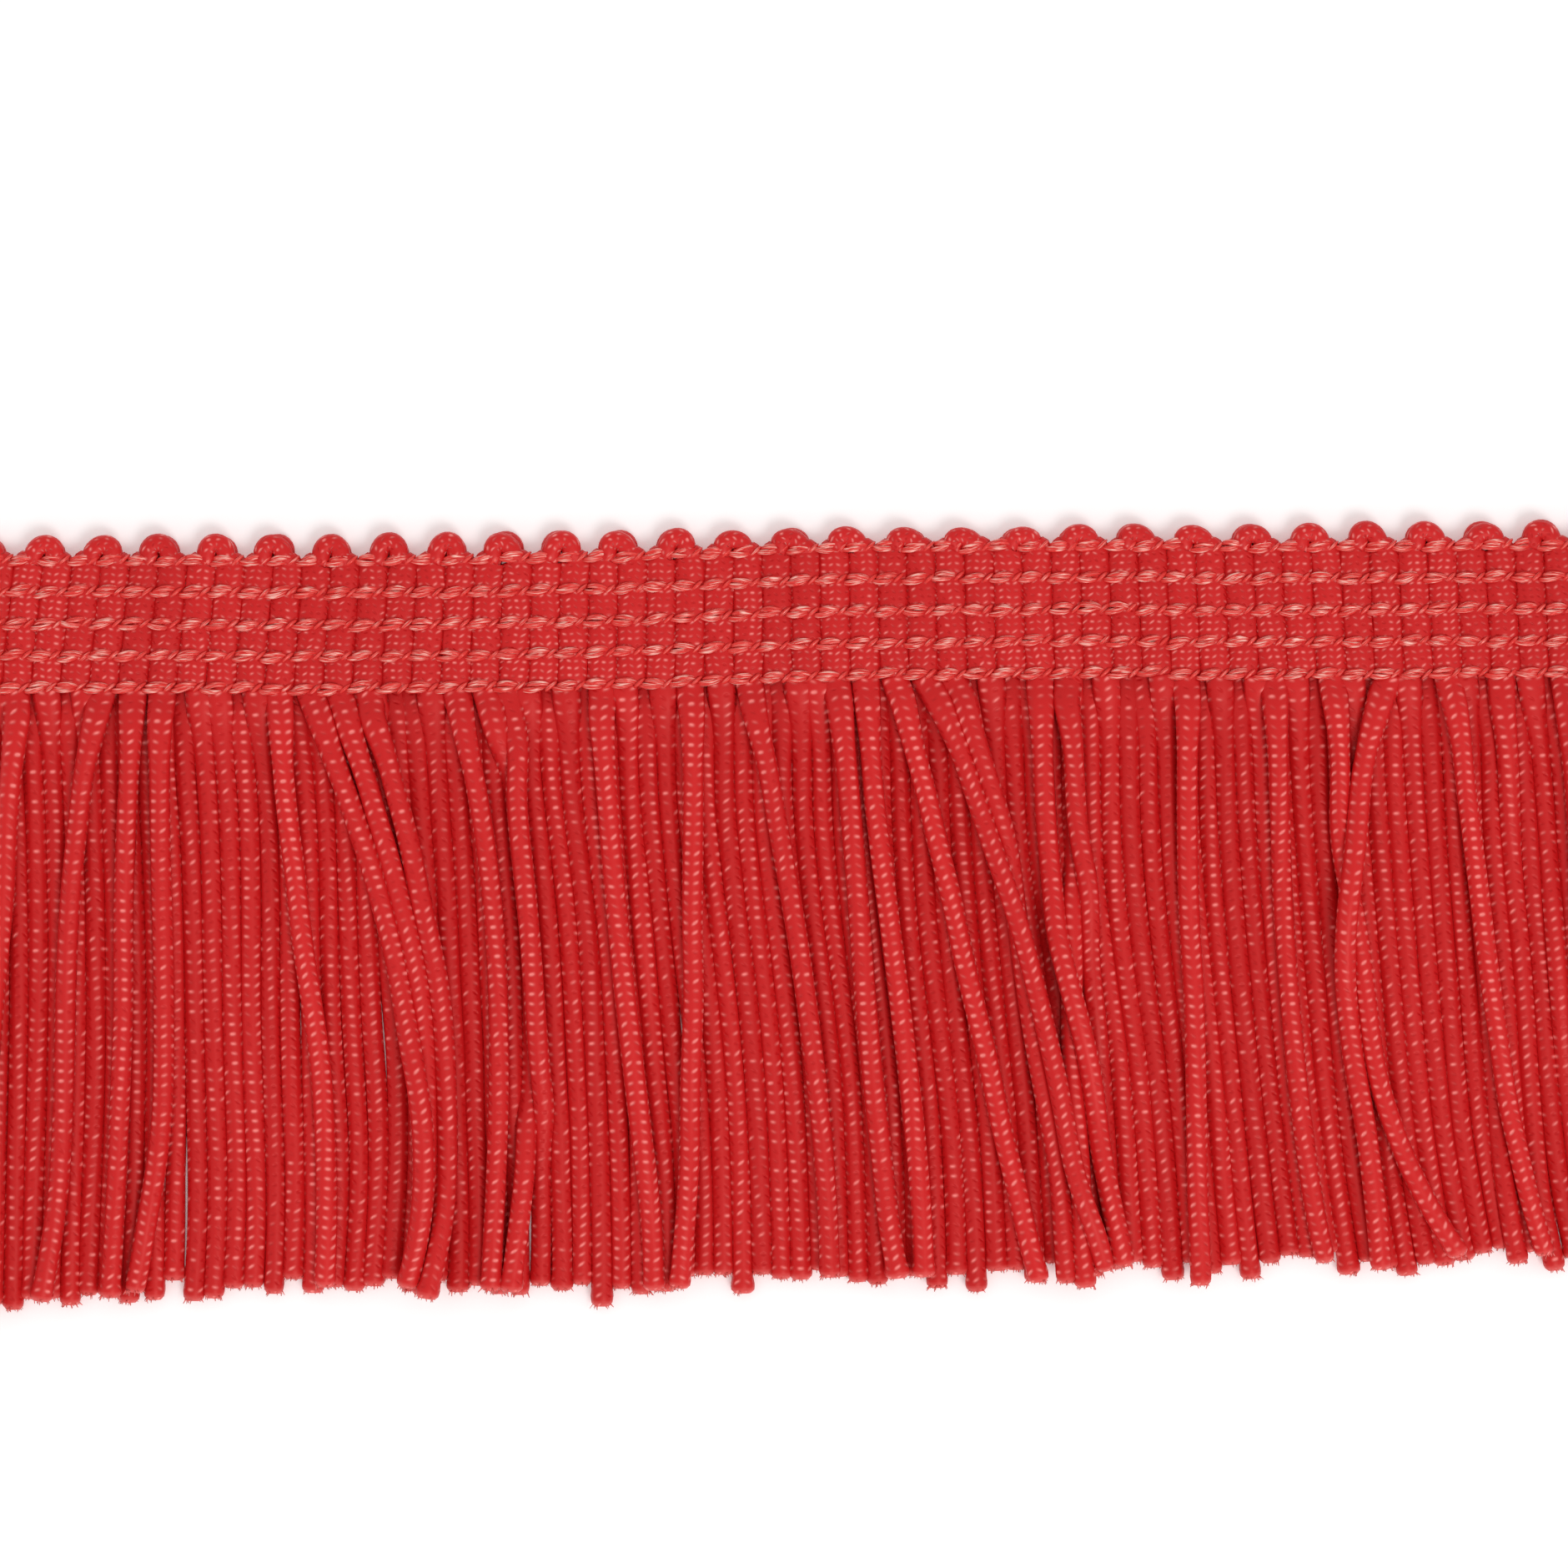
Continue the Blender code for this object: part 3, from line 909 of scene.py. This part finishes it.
root_heights = {layer: shape[0] - shape[1] for layer, shape in LAYER_SHAPES.items()}
root_z = np.where(on_face, root_heights["face"], root_heights["back"])
lie_x, lie_z = settled(aim_x, start_z, root_z)
print("highest cord centre, mm:", round(float(lie_z.max()) / MM, 2))
print("widest push, mm:", round(float(np.abs(lie_x - aim_x).max()) / MM, 2))

# %% [markdown]
# ## Fringe cords
# The lines that came to rest are drawn through smoothly and wrapped in the same knitted
# surface. Each cord has its own turn about its axis, so some show one column of dashes
# and others two. Where it leaves the last chain row it is still flat and wide, as the row
# presses it. It ends in a blunt cut that opens a little and is paler, because there the
# ends of the filaments show. Cords that lie higher are painted brighter, with stronger
# painted glints, as painted light.

# %% Smooth lines from root to cut
FRINGE_RINGS = 186
TIP_SPREAD = 0.48 * MM


def smooth_through(rows, at):
    """Cubic B-spline of (cord, station) rows, read at (cord, ring) places in stations."""
    last = rows.shape[1] - 1
    left = np.clip(np.floor(at).astype(int), 0, last - 1)
    f = at - left
    cords = np.arange(len(rows))[:, None]
    near = [rows[cords, np.clip(left + k, 0, last)] for k in (-1, 0, 1, 2)]
    weights = (
        (1 - f) ** 3 / 6,
        (3 * f**3 - 6 * f**2 + 4) / 6,
        (-3 * f**3 + 3 * f**2 + 3 * f + 1) / 6,
        f**3 / 6,
    )
    return sum(w * n for w, n in zip(weights, near))


WIDEST_TIP = 1.9
draw_cut = np.random.default_rng(19)
cut_y = np.interp(lie_x[:, -1] / MM, CUT_TABLE[:, 0], CUT_TABLE[:, 1]) * MM
cut_y = cut_y + draw_cut.normal(0.0, 1.0, STRAND_COUNT).clip(-WIDEST_TIP, WIDEST_TIP) * TIP_SPREAD
ring_t = np.linspace(0.0, 1.0, FRINGE_RINGS)[None, :]
ring_at = np.broadcast_to(ring_t * (STATIONS - 1), (STRAND_COUNT, FRINGE_RINGS))
top_y = FRINGE_TOP_Y + drawn_up(lie_x[:, :1])
cord_y = top_y + (cut_y[:, None] - top_y) * ring_t
cord_x, cord_z = smooth_through(lie_x, ring_at), smooth_through(lie_z, ring_at)
cord_line = np.stack([cord_x, cord_y, cord_z], axis=-1)
stitch_length = float(cord_y[0, 0] - cord_y[0, 1]) * RINGS_PER_STITCH
print("stitches every mm:", round(stitch_length / MM, 3))

# %% Wrap them in knitting
ROOT_HALF_WIDTH = 0.99 * MM
ROOT_HALF_HEIGHT = 0.37 * MM
ROOT_REACH = 6.0 * MM
SLUMPED_WIDTH = 1.06
SLUMPED_HEIGHT = 0.96
CORD_SIZES = (0.96, 1.06)
CORD_TWIST = 0.8
CORD_TWIST_TURNS = 0.8
OPENINGS = (0.0, 0.28)
FLARE_REACH = 1.2 * MM
FLARE_HEIGHT_SHARE = 0.3
BLUNT_END = (0.97, 0.88, 0.62)
FRAYED_SHARE = 0.45
FRAYED_REACH = 0.5 * MM
CORD_SHADES = (0.0, 0.45)
# painted light: how much brighter, with stronger painted glints, the highest cords are
LIFTED_PAINTED_LIGHT = 0.45

draw_cord = np.random.default_rng(23)
size = draw_cord.uniform(*CORD_SIZES, (STRAND_COUNT, 1)) * HANGING_RADIUS
flat_at_root = 1 - smooth_step((top_y - cord_y) / ROOT_REACH)
flare = smooth_step((cut_y[:, None] + FLARE_REACH - cord_y) / FLARE_REACH)
opening = draw_cord.uniform(*OPENINGS, (STRAND_COUNT, 1))
blunt = np.ones(FRINGE_RINGS)
blunt[-len(BLUNT_END):] = BLUNT_END
cord_half_width = size * SLUMPED_WIDTH * (1 + opening * flare) * blunt
cord_half_width += (ROOT_HALF_WIDTH - cord_half_width) * flat_at_root
cord_half_height = size * SLUMPED_HEIGHT * (1 + FLARE_HEIGHT_SHARE * opening * flare) * blunt
cord_half_height += (ROOT_HALF_HEIGHT - cord_half_height) * flat_at_root
cord_turn = draw_cord.uniform(0, 2 * math.pi, (STRAND_COUNT, 1))
cord_turn = cord_turn + slow_wave(draw_cord, STRAND_COUNT, ring_t, CORD_TWIST, CORD_TWIST_TURNS)
relief = knitted_relief(STRAND_COUNT, FRINGE_RINGS)
cord_points = tube_points(cord_line, cord_half_width, cord_half_height, cord_turn, CORD_SIDES, relief)
first_stitch = draw_cord.integers(0, 40, (STRAND_COUNT, 1))
cord_stitches = np.arange(FRINGE_RINGS) / RINGS_PER_STITCH + first_stitch
# painted light: cords that lie higher get a brighter red and stronger painted glints, added to a chance
# brightness for each cord
lifted = np.clip((cord_z - HANGING_RADIUS) / (2 * HANGING_RADIUS), 0.0, 1.0)
cord_tone_and_painted_light = draw_cord.uniform(*CORD_SHADES, (STRAND_COUNT, 1)) + LIFTED_PAINTED_LIGHT * lifted
cord_frayed = FRAYED_SHARE * smooth_step((cut_y[:, None] + FRAYED_REACH - cord_y) / FRAYED_REACH)

FRINGE_THIRDS = ("left", "middle", "right")
third = np.arange(STRAND_COUNT) * len(FRINGE_THIRDS) // STRAND_COUNT
for number, label in enumerate(FRINGE_THIRDS):
    mine = third == number
    values = {"tone_and_painted_light": cord_tone_and_painted_light[mine], "frayed": cord_frayed[mine]}
    mesh = tube_mesh(f"fringe_cords_{label}", cord_points[mine], WALES, cord_stitches[mine], values)
    add_piece(f"fringe_cords_{label}", mesh, cord_yarn, "fringe_cord", "fringe")

# %% [markdown]
# ## Frayed cuts
# Where the cord is cut, its filaments stand out as a short brush. A real cut has dozens
# of them. A handful of thick spikes for each cord is enough, because the eye reads the
# rough pale edge and not the count.

# %% Filaments at the cuts
FILAMENTS = 16
FILAMENT_RINGS = 3
FILAMENT_LENGTHS = (0.20, 0.45)  # in mm
FILAMENT_RADII = (0.045, 0.085)  # in mm
FILAMENT_TAPER = 0.60
FILAMENT_SAG = 0.10 * MM
FILAMENT_ROOT = 0.18 * MM
FILAMENT_DRIFT = 0.22
FILAMENT_SHADE = 0.6
FRAYED_TIP = 0.9
CUT_DISC = 0.92 * HANGING_RADIUS
LOWEST_FILAMENT = 0.06 * MM


def cut_filaments(draw):
    """Lines, radii and turns of the spikes at the cuts.

    Each starts from a point of the cut's disc, out * (cos, sin) of an angle, and runs
    down the cord's length with a lean outwards of fan times the same cos and sin.
    """
    count = STRAND_COUNT * FILAMENTS
    cord = np.repeat(np.arange(STRAND_COUNT), FILAMENTS)
    around = draw.uniform(0, 2 * math.pi, count)
    out = np.sqrt(draw.uniform(0.05, 1.0, count)) * CUT_DISC
    base = cord_line[cord, -1] + np.stack(
        [out * np.cos(around), np.full(count, FILAMENT_ROOT), out * np.sin(around)], axis=-1
    )
    length = draw.uniform(*FILAMENT_LENGTHS, count) * MM
    fan = draw.uniform(0.0, 1.0, count)
    drift = draw.normal(0.0, FILAMENT_DRIFT, (2, count))
    sideways, upwards = np.cos(around) * fan + drift[0], np.sin(around) * fan + drift[1]
    aim = np.stack([sideways, -np.ones(count), upwards], axis=-1)
    aim /= np.linalg.norm(aim, axis=-1, keepdims=True)
    t = np.linspace(0.0, 1.0, FILAMENT_RINGS)
    line = base[:, None, :] + aim[:, None, :] * (length[:, None] * t)[..., None]
    line[..., 2] = np.maximum(line[..., 2] - FILAMENT_SAG * t**2, LOWEST_FILAMENT)
    thick = draw.uniform(*FILAMENT_RADII, (count, 1)) * MM * (1.0 - FILAMENT_TAPER * t)
    turn = np.broadcast_to(around[:, None], (count, FILAMENT_RINGS))
    return line, thick, turn


fray_line, fray_thick, fray_turn = cut_filaments(np.random.default_rng(41))
fray_points = tube_points(fray_line, fray_thick, fray_thick, fray_turn, 3)
fray_values = {
    "tone_and_painted_light": np.full(fray_thick.shape, FILAMENT_SHADE),
    "frayed": np.broadcast_to(
        np.linspace(FRAYED_SHARE, FRAYED_TIP, FILAMENT_RINGS), fray_thick.shape
    ),
}
fray_v = np.broadcast_to(np.linspace(0.0, 0.5, FILAMENT_RINGS), fray_thick.shape)
fray_mesh = tube_mesh("cut_ends", fray_points, 1.0, fray_v, fray_values)
fray_piece = add_piece("cut_ends", fray_mesh, cord_yarn, "fringe_cord", "fringe")

# %% [markdown]
# ## Chain stitch rows
# Each stitch of a chain row is a loop lying on the band: an upper and a lower leg that
# part and meet again, held by the next loop, whose head crosses them on a slant. The two
# legs bridge the groove between two courses. A leg could be one fat tube, but the yarn is
# a loose bundle, so each leg is three plies that wind a little round each other. A row is
# the same stitch repeated with small changes.

# %% Legs and links
STITCH_SHIFT = -0.26 * COURSE_PITCH
LEG_LENGTH = 0.84 * COURSE_PITCH
LEG_OFFSET = 0.21 * MM
LEG_RADIUS = 0.22 * MM
LEG_STAGGER = 0.07 * COURSE_PITCH
LINK_RADIUS = 0.15 * MM
STITCH_Z = 1.60 * MM
LEG_RINGS = 10
LEG_PLIES = 3
PLY_SHARE = 0.62
LINK_RINGS = 8
STITCH_SIDES = 5
STITCH_SPREAD_X = 0.035  # this and the next two in mm
STITCH_SPREAD_Y = 0.045
STITCH_SPREAD_Z = 0.02
LEG_DIP = 0.30 * MM
LEG_ARCH = 0.38 * MM
LEG_REACHES = (0.95, 1.06)
LEG_BOWS = (0.70, 1.12)
LEG_SIZES = (0.90, 1.10)
LEG_TILT, LEG_TILT_SPREAD = 0.09, 0.09
LINK_DIP = 0.25 * MM
LINK_ARCH = 0.27 * MM
LINK_HALF_RUN = 0.20 * COURSE_PITCH
LINK_HALF_RISE = 0.34 * MM
LINK_SPREAD_X = 0.03  # in mm
# painted highlight on the loop heads, weaker than on the legs
LINK_PAINTED_HIGHLIGHT = 0.3
LEG_THINNEST, LINK_THINNEST = 0.50, 0.45
# powers of a bulge: under 1 it rises steeply at the ends, over 1 it keeps to the middle
# the last power in each row shapes the painted highlight along a leg or a link
LEG_BOW_POWER, LEG_ARCH_POWER, LEG_SWELL_POWER, LEG_HIGHLIGHT_POWER = 0.45, 0.6, 0.65, 2.0
LINK_ARCH_POWER, LINK_SWELL_POWER, LINK_HIGHLIGHT_POWER = 0.8, 0.6, 1.5
PLY_TWISTS = (0.3, 1.6)
PLY_WIDER = 1.2
# chance strength of the painted highlight for each ply and link
STITCH_HIGHLIGHT_RANGE = (0.4, 1.5)
YARN_FLATNESS = 0.92

stitch_draw = np.random.default_rng(53)
row_of = np.repeat(np.arange(CHAIN_ROWS), COURSES)
course_of = np.tile(np.arange(COURSES), CHAIN_ROWS)
STITCHES = len(row_of)
stitch_x = (course_of + 0.5) * COURSE_PITCH - LENGTH / 2 + STITCH_SHIFT
stitch_x = stitch_x + stitch_draw.normal(0, STITCH_SPREAD_X, STITCHES) * MM
stitch_y = ROW_Y[row_of] + drawn_up(stitch_x)
stitch_y = stitch_y + stitch_draw.normal(0, STITCH_SPREAD_Y, STITCHES) * MM


def bulge(t, power):
    """sin(pi t) to a power: 0 at both ends and 1 in the middle."""
    return np.clip(np.sin(math.pi * t), 0.0, 1.0) ** power


def stitch_legs(side, draw):
    """Centre line, radius and brightness of every leg on one side (+1 upper, -1 lower) of its row.

    Along the row x runs evenly, y bows out by LEG_OFFSET and drifts by a small tilt, and
    z rises from LEG_DIP below STITCH_Z by LEG_ARCH over the groove.
    """
    t = np.linspace(0.0, 1.0, LEG_RINGS)[None, :]
    reach = LEG_LENGTH * draw.uniform(*LEG_REACHES, (STITCHES, 1))
    tilt = draw.normal(LEG_TILT, LEG_TILT_SPREAD, (STITCHES, 1))
    x = stitch_x[:, None] + side * LEG_STAGGER + (t - 0.5) * reach
    bow = LEG_OFFSET * draw.uniform(*LEG_BOWS, (STITCHES, 1)) * bulge(t, LEG_BOW_POWER)
    y = stitch_y[:, None] + side * bow + (t - 0.5) * reach * tilt
    z = STITCH_Z - LEG_DIP + LEG_ARCH * bulge(t, LEG_ARCH_POWER)
    z = z + draw.normal(0, STITCH_SPREAD_Z, (STITCHES, 1)) * MM
    radius = LEG_RADIUS * draw.uniform(*LEG_SIZES, (STITCHES, 1))
    radius = radius * (LEG_THINNEST + (1 - LEG_THINNEST) * bulge(t, LEG_SWELL_POWER))
    # the third value is the painted highlight: strong on the crest of the leg, none at its ends
    return np.stack([slanted(x, y), y, z], axis=-1), radius, bulge(t, LEG_HIGHLIGHT_POWER)


def plied(part, draw):
    """The plies of a yarn part, each PLY_SHARE as thick and beside its centre line.

    Ply k lies at the angle start + twist t + 2 pi k / LEG_PLIES round the line, and a
    little further out in y than in z.
    """
    line, radius, bright = part
    t = np.linspace(0.0, 1.0, radius.shape[1])[None, :]
    start = draw.uniform(0, 2 * math.pi, (len(line), 1))
    twist = draw.uniform(*PLY_TWISTS, (len(line), 1))
    plies = []
    for ply in range(LEG_PLIES):
        angle = start + twist * t + 2 * math.pi * ply / LEG_PLIES
        beside = radius * (1 - PLY_SHARE)
        out_y, out_z = beside * PLY_WIDER * np.cos(angle), beside * np.sin(angle)
        shift = np.stack([np.zeros_like(beside), out_y, out_z], axis=-1)
        plies.append((line + shift, radius * PLY_SHARE, bright))
    return plies


def stitch_links(draw):
    """Centre line, radius and brightness of every slanting loop head.

    x and y run straight through the point between two stitches, from the lower left to
    the upper right, and z rises by LINK_ARCH halfway.
    """
    t = np.linspace(0.0, 1.0, LINK_RINGS)[None, :]
    along = 2 * t - 1
    x = stitch_x[:, None] + COURSE_PITCH / 2 + LINK_HALF_RUN * along
    x = x + draw.normal(0, LINK_SPREAD_X, (STITCHES, 1)) * MM
    y = stitch_y[:, None] + LINK_HALF_RISE * along
    z = STITCH_Z - LINK_DIP + LINK_ARCH * bulge(t, LINK_ARCH_POWER)
    z = z + draw.normal(0, STITCH_SPREAD_Z, (STITCHES, 1)) * MM
    radius = LINK_RADIUS * draw.uniform(*LEG_SIZES, (STITCHES, 1))
    radius = radius * (LINK_THINNEST + (1 - LINK_THINNEST) * bulge(t, LINK_SWELL_POWER))
    # painted highlight, strongest halfway along the loop head
    bright = LINK_PAINTED_HIGHLIGHT * bulge(t, LINK_HIGHLIGHT_POWER)
    return np.stack([slanted(x, y), y, z], axis=-1), radius, bright


def yarn_mesh(name, parts, seed):
    """One mesh for yarn parts that share their ring count, each a line, a radius and a brightness."""
    draw = np.random.default_rng(seed)
    line = np.concatenate([part[0] for part in parts])
    radius = np.concatenate([part[1] for part in parts])
    bright = np.concatenate([np.broadcast_to(part[2], part[1].shape) for part in parts])
    turn = np.broadcast_to(draw.uniform(0, 2 * math.pi, (len(line), 1)), radius.shape)
    points = tube_points(line, radius, radius * YARN_FLATNESS, turn, STITCH_SIDES)
    v = np.linspace(0.0, 2.0, radius.shape[1])[None, :] + draw.uniform(0, 50, (len(line), 1))
    # painted light: the painted highlight of each point times a chance strength for each tube
    tone_and_painted_light = bright * draw.uniform(*STITCH_HIGHLIGHT_RANGE, (len(line), 1))
    return tube_mesh(name, points, 1.0, v, {"tone_and_painted_light": tone_and_painted_light})


leg_parts = [ply for side in (1, -1) for ply in plied(stitch_legs(side, stitch_draw), stitch_draw)]
leg_mesh = yarn_mesh("chain_stitch_legs", leg_parts, 61)
leg_piece = add_piece("chain_stitch_legs", leg_mesh, stitch_yarn, "heading_yarn", "heading")
link_mesh = yarn_mesh("chain_stitch_links", [stitch_links(stitch_draw)], 62)
link_piece = add_piece("chain_stitch_links", link_mesh, stitch_yarn, "heading_yarn", "heading")

# %% [markdown]
# ## The back of the chain rows
# Behind the cords each chain row shows as a plain line of short bars, one to a course.
# The photo doesn't show it, so it is built as such crochet is always made.

# %% Bars on the back
BAR_RADIUS = 0.19 * MM
BAR_SWAY = 0.06 * MM
BAR_DIP = 0.10 * MM
BAR_RINGS_PER_COURSE = 6
# painted highlight on the back bars, strongest where they swell
BAR_PAINTED_HIGHLIGHT = 0.5
BAR_THINNEST, BAR_SWELL = 0.70, 0.30


def back_bars():
    """One tube along each row: its radius swells with |sin(pi course)| and its height drops with it."""
    rings = COURSES * BAR_RINGS_PER_COURSE + 1
    course = np.linspace(0.0, COURSES, rings)[None, :]
    x = course * COURSE_PITCH - LENGTH / 2
    y = ROW_Y[:, None] + drawn_up(x) + BAR_SWAY * np.sin(2 * math.pi * course)
    dip = np.abs(np.sin(math.pi * course))
    z = BAR_RADIUS + BAR_DIP * (1 - dip)
    radius = BAR_RADIUS * (BAR_THINNEST + BAR_SWELL * dip)
    line = np.stack([slanted(x, y), y, np.broadcast_to(z, y.shape)], axis=-1)
    # the third value is the painted highlight along the bar
    return line, np.broadcast_to(radius, y.shape), BAR_PAINTED_HIGHLIGHT * dip


bar_mesh = yarn_mesh("chain_back_bars", [back_bars()], 63)
bar_piece = add_piece("chain_back_bars", bar_mesh, stitch_yarn, "heading_yarn", "heading")

# %% [markdown]
# The last lines print the box of the frame and that of the finished trim.

seen_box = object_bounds()
sizes = {"cad": [list(corner) for corner in cad_box], "visual": [list(corner) for corner in seen_box]}
for label, box in sizes.items():
    print(label, "box, mm:", [[round(c / MM, 2) for c in corner] for corner in box])
